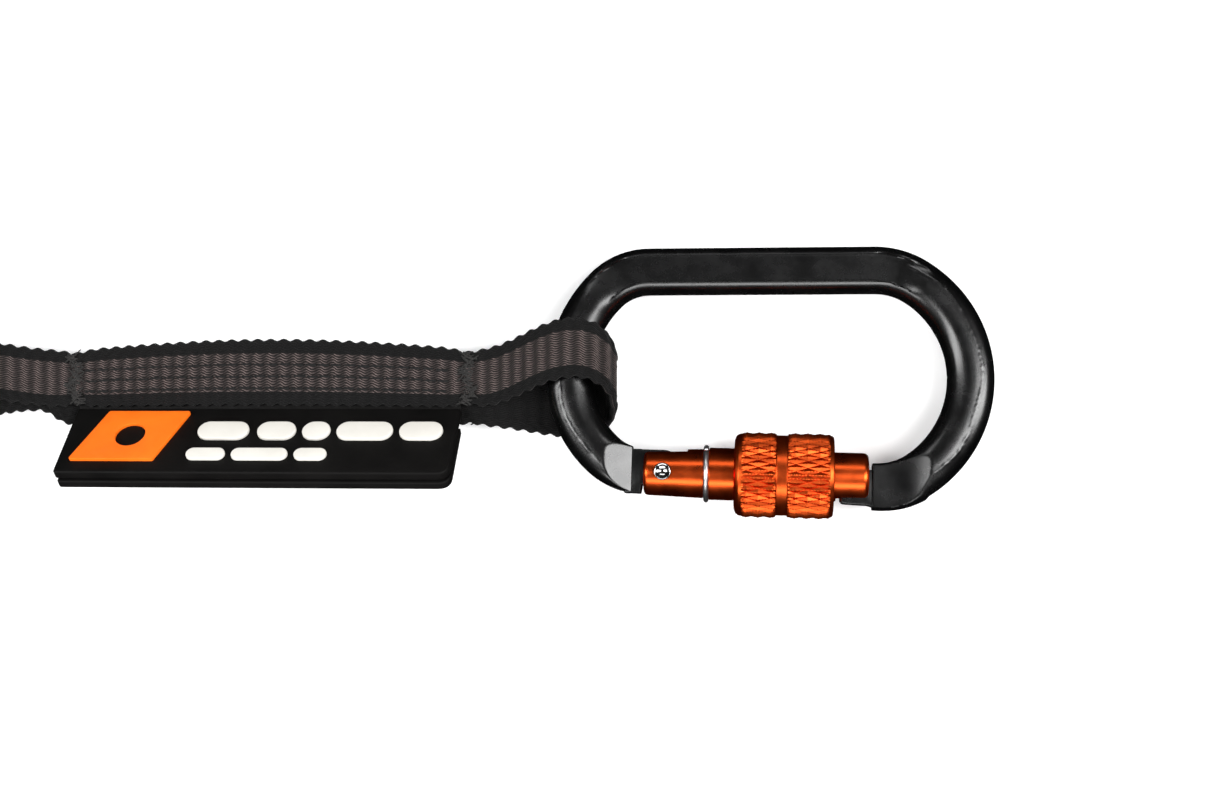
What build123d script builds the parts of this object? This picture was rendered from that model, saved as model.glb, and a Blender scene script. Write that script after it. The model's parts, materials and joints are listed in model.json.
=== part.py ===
"""Sewn webbing draw with a screw-lock oval carabiner clipped through each end loop.

Row frame: the draw lies on a table, +X along the sling, +Y towards the two spines, +Z up.
Lengths are in millimetres, angles in degrees.
"""
import os
from math import asin, cos, degrees, pi, radians, sin, sqrt, tan

from build123d import *

# ---- carabiner, in its own frame: x away from the sling, y towards the spine, z up ----
BAR_WIDTH = 10.4  # in the plane of the carabiner
BAR_THICK = 9.4
BAR_CORNER = 3.9
SPINE_Y = 24.0
SLING_BOW_TOP_X, SLING_BOW_MID, SLING_BOW_LOW = -27.0, (-45.1, 0.2), (-27.7, -21.5)
FAR_BOW_TOP_X, FAR_BOW_MID, FAR_BOW_LOW = 23.7, (44.8, -0.5), (24.0, -24.8)
NOSE_LEAD = 2.0  # straight length towards the gate, before the nose is cut square
SLING_CORNER_R = 14.0
FAR_CORNER_R = 17.0
RECESS_WIDTH = 6.2
RECESS_FLOOR = 3.5
RECESS_SWEEP = 38.0  # how far the recess follows each top corner

# ---- gate, along its own axis: u from the hinge rivet, v across, both in the carabiner plane ----
HINGE = (-23.5, -21.8)
GATE_TAPER = -1.2  # the gate is not quite parallel with the spine
GATE_END_U = -4.3
GATE_END_R = 5.1
GATE_RING_R = 5.5
GATE_MID_R = 5.85
GATE_NOSE_R = 5.45
GATE_NOSE_U = 32.6
GATE_TIP_U = 45.6
GATE_ROUNDING = 1.1  # both ends of the barrel, as two bevels
GATE_BEVEL = 0.35
SHOULDER_U = -7.1
TONGUE_HALF = 2.3
TONGUE_ROOT_U = -4.7  # the tongue is as wide as the bar up to here
TONGUE_ROOT_HALF = 4.8
HINGE_SLOT_HALF = 2.6
HINGE_SLOT_U = 5.4
HINGE_SLOT_V = -3.2  # the slot is open on the window side and closed outside
CAM_R = 3.9
CAM_OFFSET = 1.1
RIVET_R = 1.9
RIVET_HOLE_R = 1.95
RIVET_HALF = 5.0

NOSE_TONGUE_U = 39.3  # clear of the sleeve, which ends nearer the hinge when the gate opens
NOSE_TONGUE_V = (-6.0, 1.6)
NOSE_TONGUE_HALF = 2.5
NOSE_POCKET_U = 38.4
NOSE_POCKET_TOP_V = 2.0
NOSE_POCKET_HALF = 2.8
NOSE_SHOULDER_U = 46.5
HINGE_RAMP_U = -13.1  # milled ramp beside the gate's hinge, down to the face at the shoulder
HINGE_FACE_HALF = 2.5
NOSE_SCOOP_U = 59.0  # milled scoop beyond the gate's tip
NOSE_SCOOP_MID = (53.0, 3.45)
NOSE_FACE_HALF = 3.2

RING_U = 9.6
RING_WIRE_R = 0.6
RING_MEAN_R = 5.9
RING_GROOVE_HALF = 0.65
RING_ARC = 350

PLUNGER_FACE_U = CAM_R + 0.12
PLUNGER_R = 2.75
PLUNGER_HEAD = 4.6
PLUNGER_STEM_R = 1.3
PLUNGER_STEM = 2.2
SPRING_BORE_R = 2.9
SPRING_BORE_START_U = 3.5
SPRING_BORE_END_U = 24.0
SPRING_MEAN_R = 2.2
SPRING_WIRE_R = 0.28
SPRING_TURNS = 9

SLEEVE_U = 15.9
SLEEVE_LENGTH = 22.0
SLEEVE_R = 9.6
SLEEVE_GROOVE_R = 8.95
SLEEVE_COLLAR_R = 7.7
BAND_1 = (1.7, 9.2)
BAND_2 = (11.9, 21.1)
SLEEVE_BORE_R = 6.15
SLEEVE_MOUTH_R = 7.0
SLEEVE_MOUTH_START = 10.0
FRICTION_GROOVE = (1.8, 3.4)
FRICTION_GROOVE_R = 7.2
FRICTION_RING_R = (5.95, 7.1)
FRICTION_SIDE_GAP = 0.1

# ---- how each carabiner lies: on its sleeve and the far end of its spine ----
TILT = 6.05  # gate side up, because the sleeve is thicker than the bar
PITCH = 0.5  # sling end up, lifted by the webbing under it
CARABINER_Z = 7.333
CENTRE_Y = 1.45  # carabiner origin above the middle of the whole draw
RIGHT_X = 119.05
LEFT_X = -119.05

# ---- sling ----
WEB_WIDTH = 13.4
WEB_THICK = 1.6
LAYER_GAP = 1.0
SEWN_Z = 7.3
SEWN_Y = -0.3
LOWER_SHIFT = -4.4  # the lower layer is sewn off-centre, towards the label
TACK_RIGHT_X = RIGHT_X - 68.5
TACK_LEFT_X = RIGHT_X - 161.5
TACK_LENGTH = 3.6
THREAD_PROUD = 0.35
STITCH_ROWS = (-3.2, -0.8, 1.6)
STITCH_WIDTH = 0.7
STITCH_PROUD = 0.2
TACK_MARGIN = 0.7  # bare webbing each side of a tack
STITCH_MARGIN = 0.5
LOOP_X = 43.0  # middle of each wrap, from its carabiner's origin towards the sling
LOOP_REACH = 8.1  # from the middle of each wrap to its end
# each wrap's height and sideways place above and below the bar: y, z
RIGHT_WRAP_TOP, RIGHT_WRAP_LOW = (6.4, 15.2), (-7.4, 1.25)
LEFT_WRAP_TOP, LEFT_WRAP_LOW = (3.2, 15.4), (-3.2, 0.95)
LEFT_RECOVER = (-9.0, -0.8, -1.2)  # where the left lower layer starts to drop, from its tack's end
BUTT_X = 20.0  # middle of the butt joint
BUTT_GAP = 0.8
WRAP_STEPS = 14
RUN_STEPS = 8

# ---- rubber label: a thick panel with a thin sewing flange between the two webbing layers ----
LABEL_LEFT_X = RIGHT_X - 161.1
LABEL_RIGHT_X = RIGHT_X - 70.2
LABEL_TOP_Z = 8.6
LABEL_TILT = 45.0
LABEL_HEIGHT = 20.3
LABEL_THICK = 5.4
LABEL_CORNER_R = 3.0
LABEL_GROOVE = 0.9
FLANGE_DEPTH = 6.6
EDGE_GAP = 0.2
EMBLEM_PROUD = 0.8
# raised marks on the label: distance along it from the left, and down from its top
EMBLEM_OUTLINE = [(2.8, 16.9), (8.4, 1.6), (28.0, 1.6), (22.6, 16.9)]
EMBLEM_HOLE = (15.4, 9.2, 3.5)
BAR_ROWS = [
    (7.6, 5.4, [(31.0, 12.0), (45.0, 9.0), (55.5, 6.5), (63.5, 13.0), (78.0, 10.0)]),
    (14.9, 3.4, [(30.0, 9.0), (40.5, 13.0), (55.0, 7.5)]),
]

os.makedirs("parts", exist_ok=True)


def save(part, name):
    part.label = name
    export_step(part, f"parts/{name}.step")


gate_dir = (cos(radians(GATE_TAPER)), sin(radians(GATE_TAPER)), 0)
gate_plane = Plane(origin=(*HINGE, 0), x_dir=gate_dir, z_dir=(0, 0, 1))
gate_side_plane = Plane(origin=(*HINGE, 0), x_dir=gate_dir, z_dir=(gate_dir[1], -gate_dir[0], 0))
gate_axis = Axis((*HINGE, 0), gate_dir)


def gate_section(u):
    """A plane square to the gate's axis at u, for round sections."""
    return Plane(origin=gate_plane.from_local_coords((u, 0, 0)), x_dir=(0, 0, 1), z_dir=gate_dir)


def end_shape(corner, middle, corner_r):
    """Radius and arc of the wide end arc that, with a corner arc, joins a straight to the widest point."""
    across = abs(middle[0] - corner[0])
    along = abs(middle[1] - corner[1])
    end_r = (across**2 + along**2 - 2 * along * corner_r) / (2 * (across - corner_r))
    end_arc = degrees(asin((along - corner_r) / (end_r - corner_r)))
    return end_r, end_arc


def bow(start, heading, middle, corner_r):
    """Half of a carabiner's end, clockwise from the straight to the widest point."""
    end_r, end_arc = end_shape(start, middle, corner_r)
    first = JernArc(start=start, tangent=heading, radius=corner_r, arc_size=end_arc - 90)
    JernArc(start=first @ 1, tangent=first % 1, radius=end_r, arc_size=-end_arc)


def back_bow(middle, heading, finish, corner_r):
    """The other half: the end arc first, then the corner arc into the straight that starts at finish."""
    end_r, end_arc = end_shape(finish, middle, corner_r)
    first = JernArc(start=middle, tangent=heading, radius=end_r, arc_size=-end_arc)
    JernArc(start=first @ 1, tangent=first % 1, radius=corner_r, arc_size=end_arc - 90)


# ---- carabiner body: forged bar, hinge tongue, nose tongue, recessed spine ----
with BuildPart() as body:
    with BuildLine() as bar_path:
        bow(SLING_BOW_LOW, (-1, 0), SLING_BOW_MID, SLING_CORNER_R)
        back_bow(SLING_BOW_MID, (0, 1), (SLING_BOW_TOP_X, SPINE_Y), SLING_CORNER_R)
        Line((SLING_BOW_TOP_X, SPINE_Y), (FAR_BOW_TOP_X, SPINE_Y))
        bow((FAR_BOW_TOP_X, SPINE_Y), (1, 0), FAR_BOW_MID, FAR_CORNER_R)
        back_bow(FAR_BOW_MID, (0, -1), FAR_BOW_LOW, FAR_CORNER_R)
        Line(FAR_BOW_LOW, (FAR_BOW_LOW[0] - NOSE_LEAD, FAR_BOW_LOW[1]))
    with BuildSketch(Plane(origin=(*SLING_BOW_LOW, 0), x_dir=(0, 0, 1), z_dir=(-1, 0, 0))):
        RectangleRounded(BAR_THICK, BAR_WIDTH, BAR_CORNER)
    sweep(path=bar_path.wire())
    # both ends are cut square to the gate, then carry their tongues
    with BuildSketch(gate_plane):
        with Locations(((SHOULDER_U + NOSE_SHOULDER_U) / 2, 0)):
            Rectangle(NOSE_SHOULDER_U - SHOULDER_U, 20)
    extrude(amount=BAR_THICK, both=True, mode=Mode.SUBTRACT)
    # milled faces beside the gate, on both sides of the bar: a ramp at the hinge, a scoop at the nose
    for side in (1, -1):
        with BuildSketch(gate_side_plane):
            with BuildLine():
                Polyline(
                    (SHOULDER_U + 1, side * HINGE_FACE_HALF),
                    (SHOULDER_U, side * HINGE_FACE_HALF),
                    (HINGE_RAMP_U, side * BAR_THICK / 2),
                    (HINGE_RAMP_U, side * BAR_THICK),
                    (SHOULDER_U + 1, side * BAR_THICK),
                    close=True,
                )
            make_face()
            with BuildLine():
                Polyline(
                    (NOSE_SCOOP_U, side * BAR_THICK / 2),
                    (NOSE_SCOOP_U, side * BAR_THICK),
                    (NOSE_SHOULDER_U - 1, side * BAR_THICK),
                    (NOSE_SHOULDER_U - 1, side * NOSE_FACE_HALF),
                    (NOSE_SHOULDER_U, side * NOSE_FACE_HALF),
                )
                ThreePointArc(
                    (NOSE_SHOULDER_U, side * NOSE_FACE_HALF),
                    (NOSE_SCOOP_MID[0], side * NOSE_SCOOP_MID[1]),
                    (NOSE_SCOOP_U, side * BAR_THICK / 2),
                )
            make_face()
        extrude(amount=BAR_WIDTH, both=True, mode=Mode.SUBTRACT)
    with BuildSketch(gate_plane):
        with Locations((0, CAM_OFFSET)):
            Circle(CAM_R)
        with Locations(((SHOULDER_U - 1) / 2, CAM_OFFSET)):
            Rectangle(1 - SHOULDER_U, 2 * CAM_R)
        with Locations(((SHOULDER_U - 1 + TONGUE_ROOT_U) / 2, 0)):
            Rectangle(TONGUE_ROOT_U - SHOULDER_U + 1, 2 * TONGUE_ROOT_HALF)
        Circle(RIVET_HOLE_R, mode=Mode.SUBTRACT)
    extrude(amount=TONGUE_HALF, both=True)
    with BuildSketch(gate_plane):
        with Locations(((NOSE_TONGUE_U + NOSE_SHOULDER_U + 1) / 2, sum(NOSE_TONGUE_V) / 2)):
            RectangleRounded(NOSE_SHOULDER_U + 1 - NOSE_TONGUE_U, NOSE_TONGUE_V[1] - NOSE_TONGUE_V[0], 0.9)
    extrude(amount=NOSE_TONGUE_HALF, both=True)
    # shallow channel along the spine on both faces
    with BuildLine(mode=Mode.PRIVATE) as channel:
        JernArc((SLING_BOW_TOP_X, SPINE_Y), (-1, 0), SLING_CORNER_R, RECESS_SWEEP)
        Line((SLING_BOW_TOP_X, SPINE_Y), (FAR_BOW_TOP_X, SPINE_Y))
        JernArc((FAR_BOW_TOP_X, SPINE_Y), (1, 0), FAR_CORNER_R, -RECESS_SWEEP)
    for side in (1, -1):
        with BuildSketch(Plane.XY.offset(side * RECESS_FLOOR)):
            trace(channel.wire(), RECESS_WIDTH)
        extrude(amount=side * BAR_THICK, mode=Mode.SUBTRACT)

# ---- gate barrel ----
with BuildPart() as gate:
    with BuildSketch(gate_plane):
        with BuildLine():
            Polyline(
                (GATE_END_U, 0),
                (GATE_END_U, GATE_END_R - GATE_ROUNDING),
                (GATE_END_U + GATE_BEVEL, GATE_END_R - GATE_BEVEL),
                (GATE_END_U + GATE_ROUNDING, GATE_END_R),
                (RING_U - RING_GROOVE_HALF, GATE_RING_R),
                (RING_U - RING_GROOVE_HALF, RING_MEAN_R - RING_WIRE_R),
                (RING_U + RING_GROOVE_HALF, RING_MEAN_R - RING_WIRE_R),
                (RING_U + RING_GROOVE_HALF, GATE_MID_R),
                (GATE_NOSE_U - 0.4, GATE_MID_R),
                (GATE_NOSE_U, GATE_NOSE_R),
                (GATE_TIP_U - GATE_ROUNDING, GATE_NOSE_R),
                (GATE_TIP_U - GATE_BEVEL, GATE_NOSE_R - GATE_BEVEL),
                (GATE_TIP_U, GATE_NOSE_R - GATE_ROUNDING),
                (GATE_TIP_U, 0),
                close=True,
            )
        make_face()
    revolve(axis=gate_axis)
    with BuildSketch(gate_plane):
        with Locations(((HINGE_SLOT_U + GATE_END_U - 1) / 2, HINGE_SLOT_V + GATE_END_R)):
            Rectangle(HINGE_SLOT_U - GATE_END_U + 1, 2 * GATE_END_R)
    extrude(amount=HINGE_SLOT_HALF, both=True, mode=Mode.SUBTRACT)
    with BuildSketch(gate_plane):
        with Locations(((NOSE_POCKET_U + GATE_TIP_U + 1) / 2, NOSE_POCKET_TOP_V - 5)):
            Rectangle(GATE_TIP_U + 1 - NOSE_POCKET_U, 10)
    extrude(amount=NOSE_POCKET_HALF, both=True, mode=Mode.SUBTRACT)
    with BuildSketch(gate_section(SPRING_BORE_START_U)):
        Circle(SPRING_BORE_R)
    extrude(amount=SPRING_BORE_END_U - SPRING_BORE_START_U, mode=Mode.SUBTRACT)
    with BuildSketch(gate_plane):
        Circle(RIVET_R)
    extrude(amount=2 * GATE_END_R, both=True, mode=Mode.SUBTRACT)

# ---- hinge rivet: flat heads flush with the barrel ----
with BuildPart() as rivet:
    with BuildSketch(gate_plane):
        Circle(RIVET_R)
    extrude(amount=RIVET_HALF, both=True)
    chamfer(rivet.edges().filter_by(GeomType.CIRCLE), 0.2)

# ---- spring plunger, pressed on the hinge tongue's cam ----
with BuildPart() as plunger:
    with BuildSketch(gate_section(PLUNGER_FACE_U)):
        Circle(PLUNGER_R)
    extrude(amount=PLUNGER_HEAD)
    with BuildSketch(gate_section(PLUNGER_FACE_U + PLUNGER_HEAD)):
        Circle(PLUNGER_STEM_R)
    extrude(amount=PLUNGER_STEM)

# ---- gate spring ----
spring_start = PLUNGER_FACE_U + PLUNGER_HEAD + SPRING_WIRE_R
spring_length = SPRING_BORE_END_U - SPRING_WIRE_R - spring_start
with BuildPart() as spring:
    with BuildLine() as coil:
        Helix(
            pitch=spring_length / SPRING_TURNS,
            height=spring_length,
            radius=SPRING_MEAN_R,
            center=gate_section(spring_start).origin,
            direction=gate_dir,
        )
    with BuildSketch(Plane(origin=coil.line @ 0, z_dir=coil.line % 0)):
        Circle(SPRING_WIRE_R)
    sweep(path=coil.line, is_frenet=True)

# ---- split wire ring that stops the sleeve ----
with BuildPart() as stop_ring:
    with BuildSketch(gate_plane):
        with Locations((RING_U, RING_MEAN_R)):
            Circle(RING_WIRE_R)
    revolve(axis=gate_axis, revolution_arc=RING_ARC)

# ---- screw sleeve; its thread is a plain bore with running clearance ----
with BuildPart() as sleeve:
    with BuildSketch(gate_plane):
        with BuildLine():
            Polyline(
                (SLEEVE_U, SLEEVE_BORE_R),
                (SLEEVE_U, SLEEVE_COLLAR_R),
                (SLEEVE_U + 0.35, SLEEVE_COLLAR_R + 1.0),
                (SLEEVE_U + 1.0, SLEEVE_R - 0.35),
                (SLEEVE_U + BAND_1[0], SLEEVE_R),
                (SLEEVE_U + BAND_1[1] - 0.3, SLEEVE_R),
                (SLEEVE_U + BAND_1[1], SLEEVE_GROOVE_R),
                (SLEEVE_U + BAND_2[0], SLEEVE_GROOVE_R),
                (SLEEVE_U + BAND_2[0] + 0.3, SLEEVE_R),
                (SLEEVE_U + BAND_2[1], SLEEVE_R),
                (SLEEVE_U + SLEEVE_LENGTH, SLEEVE_R - 0.8),
                (SLEEVE_U + SLEEVE_LENGTH, SLEEVE_MOUTH_R),
                (SLEEVE_U + SLEEVE_MOUTH_START, SLEEVE_MOUTH_R),
                (SLEEVE_U + SLEEVE_MOUTH_START, SLEEVE_BORE_R),
                (SLEEVE_U + FRICTION_GROOVE[1], SLEEVE_BORE_R),
                (SLEEVE_U + FRICTION_GROOVE[1], FRICTION_GROOVE_R),
                (SLEEVE_U + FRICTION_GROOVE[0], FRICTION_GROOVE_R),
                (SLEEVE_U + FRICTION_GROOVE[0], SLEEVE_BORE_R),
                close=True,
            )
        make_face()
    revolve(axis=gate_axis)

# ---- elastic friction ring inside the sleeve ----
with BuildPart() as friction_ring:
    with BuildSketch(gate_plane):
        with Locations((SLEEVE_U + sum(FRICTION_GROOVE) / 2, sum(FRICTION_RING_R) / 2)):
            RectangleRounded(
                FRICTION_GROOVE[1] - FRICTION_GROOVE[0] - 2 * FRICTION_SIDE_GAP,
                FRICTION_RING_R[1] - FRICTION_RING_R[0],
                0.4,
            )
    revolve(axis=gate_axis)

# ---- both carabiners are the same pieces; the left one is turned over about its short axis ----
carabiner_pieces = {
    "carabiner_body": body,
    "gate_barrel": gate,
    "hinge_rivet": rivet,
    "spring_plunger": plunger,
    "gate_spring": spring,
    "stop_ring": stop_ring,
    "locking_sleeve": sleeve,
    "sleeve_friction_ring": friction_ring,
}
tilt_y = sin(radians(TILT))
tilt_z = cos(radians(TILT))
carabiner_frames = {
    "right": Plane(origin=(RIGHT_X, CENTRE_Y, CARABINER_Z), x_dir=(1, 0, 0), z_dir=(0, tilt_y, tilt_z)),
    "left": Plane(origin=(LEFT_X, CENTRE_Y, CARABINER_Z), x_dir=(-1, 0, 0), z_dir=(0, -tilt_y, -tilt_z)),
}
for side, turned in carabiner_frames.items():
    frame = turned.rotated((0, PITCH if side == "right" else -PITCH, 0))
    for name, piece in carabiner_pieces.items():
        save(piece.part.moved(frame.location), f"{side}_{name}")


# ---- sling webbing: one ribbon, its width always along Y ----
def ease(t):
    """Goes smoothly from 0 to 1."""
    return (1 - cos(pi * t)) / 2


def run(start, finish):
    """Centre points from start to finish, without the last: level at both, eased in y and z."""
    route = []
    for i in range(RUN_STEPS):
        t = i / RUN_STEPS
        x = start[0] + (finish[0] - start[0]) * t
        y = start[1] + (finish[1] - start[1]) * ease(t)
        z = start[2] + (finish[2] - start[2]) * ease(t)
        route.append((x, y, z))
    return route


def wrap(x, direction, top, low):
    """Centre points round a bar, from above it (top: y, z) to below it (low: y, z)."""
    route = []
    for i in range(WRAP_STEPS + 1):
        angle = pi * (0.5 - i / WRAP_STEPS)
        y = (top[0] + low[0]) / 2 + (top[0] - low[0]) / 2 * sin(angle)
        z = (top[1] + low[1]) / 2 + (top[1] - low[1]) / 2 * sin(angle)
        route.append((x + direction * LOOP_REACH * cos(angle), y, z))
    return route


upper_z = SEWN_Z + (LAYER_GAP + WEB_THICK) / 2
lower_z = SEWN_Z - (LAYER_GAP + WEB_THICK) / 2
lower_y = SEWN_Y + LOWER_SHIFT
right_end = TACK_RIGHT_X + TACK_LENGTH / 2
left_end = TACK_LEFT_X - TACK_LENGTH / 2
right_loop = wrap(RIGHT_X - LOOP_X, 1, RIGHT_WRAP_TOP, RIGHT_WRAP_LOW)
left_loop = wrap(LEFT_X + LOOP_X, -1, LEFT_WRAP_TOP, LEFT_WRAP_LOW)
left_recover = (left_end + LEFT_RECOVER[0], SEWN_Y + LEFT_RECOVER[1], lower_z + LEFT_RECOVER[2])

# the ribbon starts and ends at a butt joint in the lower layer
points = [(BUTT_X - BUTT_GAP / 2, lower_y, lower_z)]
points += run((left_end, lower_y, lower_z), left_recover)
points += run(left_recover, left_loop[-1])
points += list(reversed(left_loop))
points += run(left_loop[0], (left_end, SEWN_Y, upper_z))[1:]
points += [(left_end, SEWN_Y, upper_z)]
points += run((right_end, SEWN_Y, upper_z), right_loop[0])
points += right_loop
points += run(right_loop[-1], (right_end, lower_y, lower_z))[1:]
points += [(right_end, lower_y, lower_z), (BUTT_X + BUTT_GAP / 2, lower_y, lower_z)]


def heading(before, after):
    """Direction of travel in the XZ plane."""
    dx = after[0] - before[0]
    dz = after[2] - before[2]
    size = sqrt(dx * dx + dz * dz)
    return (dx / size, 0, dz / size)


with BuildPart() as webbing:
    for i, (x, y, z) in enumerate(points):
        before = points[max(i - 1, 0)]
        after = points[min(i + 1, len(points) - 1)]
        section = Plane(origin=(x, y + CENTRE_Y, z), x_dir=(0, 1, 0), z_dir=heading(before, after))
        with BuildSketch(section):
            Rectangle(WEB_WIDTH, WEB_THICK)
    loft(ruled=True)
save(webbing.part, "sling_webbing")

# ---- bar tacks: a pad of thread on each face of the sewn layers ----
top_face_z = upper_z + WEB_THICK / 2
under_face_z = lower_z - WEB_THICK / 2
for side, tack_x in {"right": TACK_RIGHT_X, "left": TACK_LEFT_X}.items():
    with BuildPart() as tack:
        with Locations((tack_x, CENTRE_Y + SEWN_Y, top_face_z + THREAD_PROUD / 2)):
            Box(TACK_LENGTH, WEB_WIDTH - 2 * TACK_MARGIN, THREAD_PROUD)
        with Locations((tack_x, CENTRE_Y + lower_y, under_face_z - THREAD_PROUD / 2)):
            Box(TACK_LENGTH, WEB_WIDTH - 2 * TACK_MARGIN, THREAD_PROUD)
    save(tack.part, f"{side}_bar_tack")

# ---- lengthwise stitching between the tacks ----
stitch_length = TACK_RIGHT_X - TACK_LEFT_X - TACK_LENGTH - 2 * STITCH_MARGIN
stitch_x = (TACK_RIGHT_X + TACK_LEFT_X) / 2
with BuildPart() as stitching:
    for row in STITCH_ROWS:
        for z in (top_face_z + STITCH_PROUD / 2, under_face_z - STITCH_PROUD / 2):
            with Locations((stitch_x, CENTRE_Y + SEWN_Y + row, z)):
                Box(stitch_length, STITCH_WIDTH, STITCH_PROUD)
save(stitching.part, "lengthwise_stitching")

# ---- rubber label ----
slope = (-cos(radians(LABEL_TILT)), sin(radians(LABEL_TILT)))  # down the face, towards the near edge
face_normal = (sin(radians(LABEL_TILT)), cos(radians(LABEL_TILT)))
face_top = (CENTRE_Y + SEWN_Y - WEB_WIDTH / 2 - EDGE_GAP, LABEL_TOP_Z)
face_low = (face_top[0] + LABEL_HEIGHT * slope[0], face_top[1] + LABEL_HEIGHT * slope[1])
back_low = (face_low[0] - LABEL_THICK * face_normal[0], face_low[1] - LABEL_THICK * face_normal[1])
groove = ((face_low[0] + back_low[0]) / 2, (face_low[1] + back_low[1]) / 2)
gap_low = SEWN_Z - LAYER_GAP / 2
gap_high = SEWN_Z + LAYER_GAP / 2
notch_y = CENTRE_Y + lower_y - WEB_WIDTH / 2 - EDGE_GAP
back_start = (notch_y, back_low[1] - (notch_y - back_low[0]) * tan(radians(LABEL_TILT)))
label_length = LABEL_RIGHT_X - LABEL_LEFT_X
label_end = Plane(origin=(LABEL_LEFT_X, 0, 0), x_dir=(0, 1, 0), z_dir=(1, 0, 0))
with BuildPart() as label:
    with BuildSketch(label_end):
        with BuildLine():
            Polyline(
                face_top,
                face_low,
                back_low,
                back_start,
                (notch_y, gap_low),
                (face_top[0], gap_low),
                close=True,
            )
        make_face()
    extrude(amount=label_length)
    near_corners = label.edges().filter_by(lambda e: abs((e % 0).X) < 0.01).group_by(Axis.Y)[0]
    fillet(near_corners, LABEL_CORNER_R)
    with BuildSketch(label_end):
        with BuildLine():
            Polyline(
                (face_top[0], gap_low),
                (face_top[0] + FLANGE_DEPTH, gap_low),
                (face_top[0] + FLANGE_DEPTH, gap_high),
                (face_top[0], gap_high),
                close=True,
            )
        make_face()
    extrude(amount=label_length)
    with BuildSketch(label_end):
        with Locations(groove):
            Rectangle(2 * LABEL_GROOVE, LABEL_GROOVE, rotation=-LABEL_TILT)
    extrude(amount=label_length, mode=Mode.SUBTRACT)
save(label.part, "label_panel")

label_face = Plane(
    origin=(LABEL_LEFT_X, *face_top),
    x_dir=(1, 0, 0),
    z_dir=(0, *face_normal),
)
with BuildPart() as emblem:
    with BuildSketch(label_face):
        with BuildLine():
            Polyline(*[(along, -down) for along, down in EMBLEM_OUTLINE], close=True)
        make_face()
        with Locations((EMBLEM_HOLE[0], -EMBLEM_HOLE[1])):
            Circle(EMBLEM_HOLE[2], mode=Mode.SUBTRACT)
    extrude(amount=EMBLEM_PROUD)
save(emblem.part, "label_emblem")

with BuildPart() as bars:
    with BuildSketch(label_face):
        for down, height, row in BAR_ROWS:
            for start, length in row:
                with Locations((start + length / 2, -down)):
                    SlotOverall(length, height)
    extrude(amount=EMBLEM_PROUD)
save(bars.part, "label_bars")
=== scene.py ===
"""Webbing draw with a screw-lock oval carabiner in each end loop: the visible model around the frame.

Lengths are in millimetres unless a name says otherwise. A carabiner is made in its own frame (x away from
the sling, y towards the spine, z up) and its gate pieces along the gate's axis (u from the hinge rivet).
"""
import json
from math import asin, copysign, cos, degrees, exp, pi, radians, sin, sqrt, tan
from random import Random

import bmesh
import bpy
from mathutils import Matrix, Vector, noise


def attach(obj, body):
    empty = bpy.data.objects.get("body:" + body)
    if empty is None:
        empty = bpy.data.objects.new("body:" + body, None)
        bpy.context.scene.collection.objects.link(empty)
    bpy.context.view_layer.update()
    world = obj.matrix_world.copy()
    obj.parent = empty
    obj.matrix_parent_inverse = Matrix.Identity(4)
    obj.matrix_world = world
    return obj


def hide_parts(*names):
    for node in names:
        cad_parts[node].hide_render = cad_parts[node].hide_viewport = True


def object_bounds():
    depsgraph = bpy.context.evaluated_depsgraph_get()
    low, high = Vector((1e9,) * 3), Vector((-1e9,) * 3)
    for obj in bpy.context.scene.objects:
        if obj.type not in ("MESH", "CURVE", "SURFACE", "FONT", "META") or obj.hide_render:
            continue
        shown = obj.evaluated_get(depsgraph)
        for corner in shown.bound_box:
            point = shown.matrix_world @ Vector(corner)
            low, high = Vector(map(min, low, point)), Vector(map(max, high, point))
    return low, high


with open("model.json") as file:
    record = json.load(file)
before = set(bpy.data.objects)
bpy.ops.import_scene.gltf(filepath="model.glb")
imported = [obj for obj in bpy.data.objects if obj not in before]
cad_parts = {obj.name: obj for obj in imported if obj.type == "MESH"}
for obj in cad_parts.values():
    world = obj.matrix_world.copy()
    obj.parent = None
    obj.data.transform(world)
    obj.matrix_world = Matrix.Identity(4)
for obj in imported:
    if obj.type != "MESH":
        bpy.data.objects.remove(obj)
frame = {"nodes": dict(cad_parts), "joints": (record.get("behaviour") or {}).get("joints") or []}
cad_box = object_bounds()

MM = 0.001
JOINTS = {joint["name"]: joint for joint in frame["joints"]}

# ---- carabiner ----
HALF_WIDTH = 5.2
HALF_THICK = 4.7
SPINE_Y = 24.0
SLING_BOW_TOP_X, SLING_BOW_MID, SLING_BOW_LOW = -27.0, (-45.1, 0.2), (-27.7, -21.5)
FAR_BOW_TOP_X, FAR_BOW_MID, FAR_BOW_LOW = 23.7, (44.8, -0.5), (24.0, -24.8)
NOSE_LEAD = 2.0  # straight length towards the gate, before the nose is cut square
SLING_CORNER_R = 14.0
FAR_CORNER_R = 17.0
PATH_STEP = 0.4
AROUND = 120  # points round the bar
SQUARENESS = 2.3  # of the bar's section, where 2 is an ellipse
SPINE_SQUARER = 0.8
CUT_END_SQUARER = 0.7
RECESS_HALF = 3.15
RECESS_FLOOR = 3.55
RECESS_EDGE = 0.35
FLASH_ACROSS = 1.9  # trimmed forging flash, from the bar's middle outwards
FLASH_WIDTH = 0.33
FLASH_PROUD = 0.16
TRIM_STEP = 0.42  # where the trimming tool ran out
HINGE = (-23.5, -21.8)
GATE_TAPER = -1.2
SHOULDER_U = -7.1
NOSE_SHOULDER_U = 46.5
HINGE_RAMP_U = -13.1  # milled ramp beside the gate's hinge, down to the face at the shoulder
HINGE_FACE_HALF = 2.5
NOSE_SCOOP_U = 59.0  # milled scoop beyond the gate's tip
NOSE_FACE_HALF = 3.2
SCOOP_CURVE = 3.2  # how much steeper the scoop gets towards the bend
MILLED_BELOW_Y = -9.0
CUT_RIM = 0.15
TONGUE_HALF = 2.3
CAM_R = 3.9
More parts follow.
